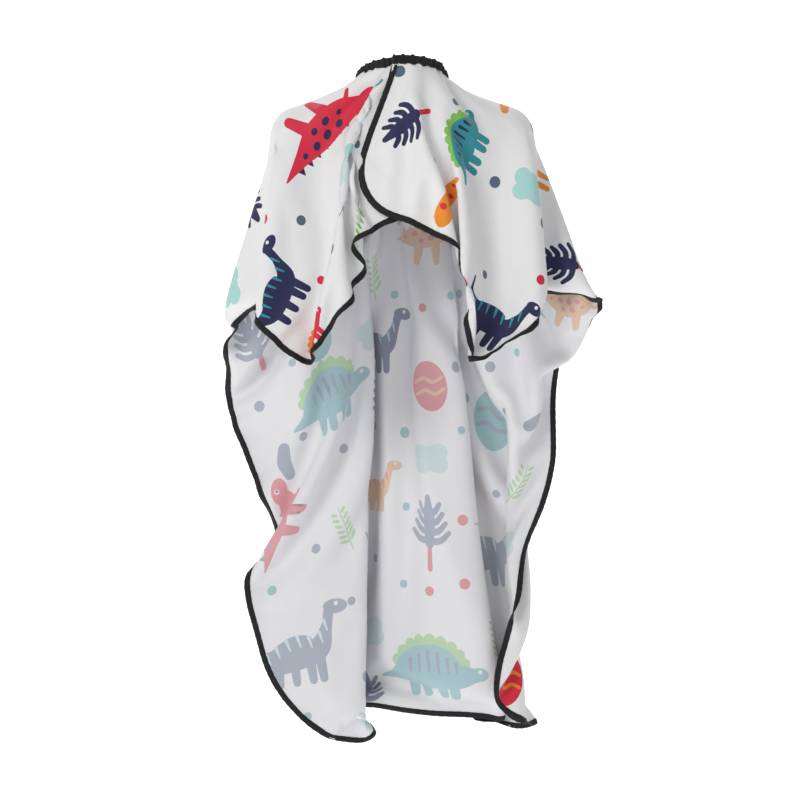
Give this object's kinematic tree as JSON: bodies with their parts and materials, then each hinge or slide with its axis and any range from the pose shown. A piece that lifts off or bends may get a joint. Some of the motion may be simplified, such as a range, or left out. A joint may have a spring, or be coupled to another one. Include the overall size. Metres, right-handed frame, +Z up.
{
  "type": "barber cape",
  "caption": "Child-size barber cape worn on a neck: printed cloth with a long front, open back wings, black bound edges and an elastic neckband.",
  "frame": {"origin": "centre of the neck opening, in the middle of the neckband's height", "axes": "the wearer faces +Y, so the nape closure is at -Y; +X is to the right as seen from behind; +Z is up"},
  "size_m": [0.5411, 0.2557, 0.9417],
  "materials": {
    "printed_polyester": "satin",
    "black_binding": "matte",
    "black_casing": "matte",
    "elastic_tape": "matte",
    "hook_tape": "matte",
    "loop_tape": "matte"
  },
  "bodies": {
    "root": {"neckband_casing_front": "black_casing", "neckband_elastic_front": "elastic_tape", "cloth_front": "printed_polyester", "cloth_shoulder_left": "printed_polyester", "cloth_shoulder_right": "printed_polyester", "binding_shoulder_left": "black_binding", "binding_shoulder_right": "black_binding", "binding_side_left": "black_binding", "binding_side_right": "black_binding", "binding_hem": "black_binding"},
    "right_wing": {"cloth_wing_right": "printed_polyester", "binding_wing_right": "black_binding", "neckband_casing_right_end": "black_casing", "neckband_elastic_right_end": "elastic_tape", "closure_hook_tape": "hook_tape"},
    "left_wing": {"cloth_wing_left": "printed_polyester", "binding_wing_left": "black_binding", "neckband_casing_left_end": "black_casing", "neckband_elastic_left_end": "elastic_tape", "closure_loop_tape": "loop_tape"}
  },
  "joints": [
    {"name": "right_wing_open", "type": "hinge", "parent": "root", "child": "right_wing", "pos_m": [0.049, -0.048, 0.008], "axis": [-0.1149, 0.1419, 0.9832], "range_deg": [0, 70]},
    {"name": "left_wing_open", "type": "hinge", "parent": "root", "child": "left_wing", "pos_m": [-0.049, -0.048, 0.008], "axis": [-0.1728, -0.1373, -0.9753], "range_deg": [0, 32]}
  ],
  "couplings": [
    {"joint": "left_wing_open", "follows": "right_wing_open", "ratio": 0.45}
  ]
}
